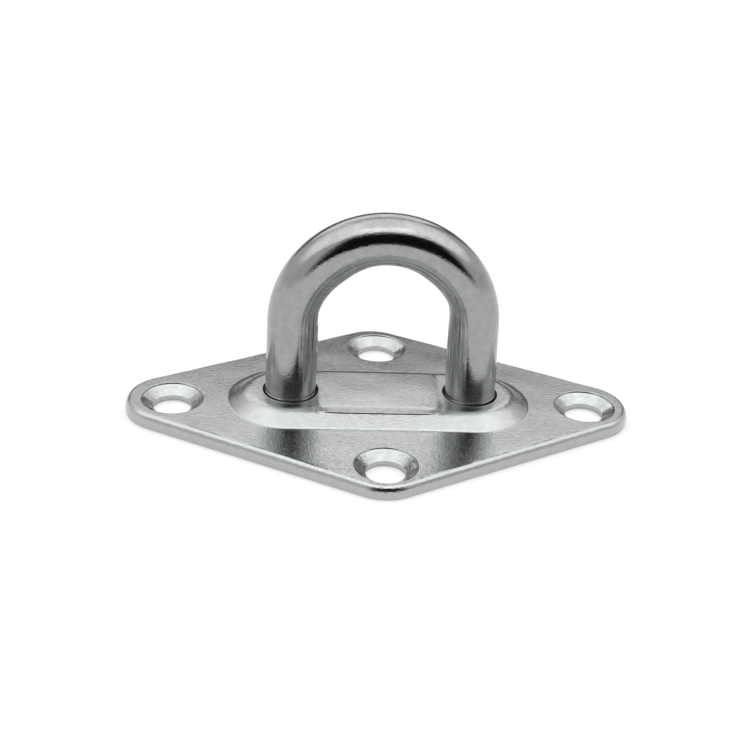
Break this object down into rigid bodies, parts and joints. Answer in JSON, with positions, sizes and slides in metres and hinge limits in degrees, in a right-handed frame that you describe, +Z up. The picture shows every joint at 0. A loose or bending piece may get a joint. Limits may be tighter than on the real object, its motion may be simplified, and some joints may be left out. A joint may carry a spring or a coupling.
{
  "type": "pad eye",
  "caption": "Diamond base plate with countersunk screw holes and a raised boss carrying a welded U-shaped round-bar eye for a shackle, hook or line.",
  "frame": {"origin": "centre of the base plate's underside, midway between the screw holes", "axes": "+X along the plate's long diagonal and across the eye, +Y along the short diagonal, +Z up out of the plate through the eye"},
  "size_m": [0.08, 0.05, 0.0344],
  "materials": {
    "plate_steel": "tumbled and polished stainless steel, fine grain",
    "eye_steel": "polished stainless steel bar with faint draw lines",
    "weld_steel": "rippled weld metal, slightly dull"
  },
  "bodies": {
    "root": {"base_plate": "plate_steel", "eye_loop": "eye_steel", "weld_bead_left": "weld_steel", "weld_bead_right": "weld_steel"}
  },
  "joints": []
}
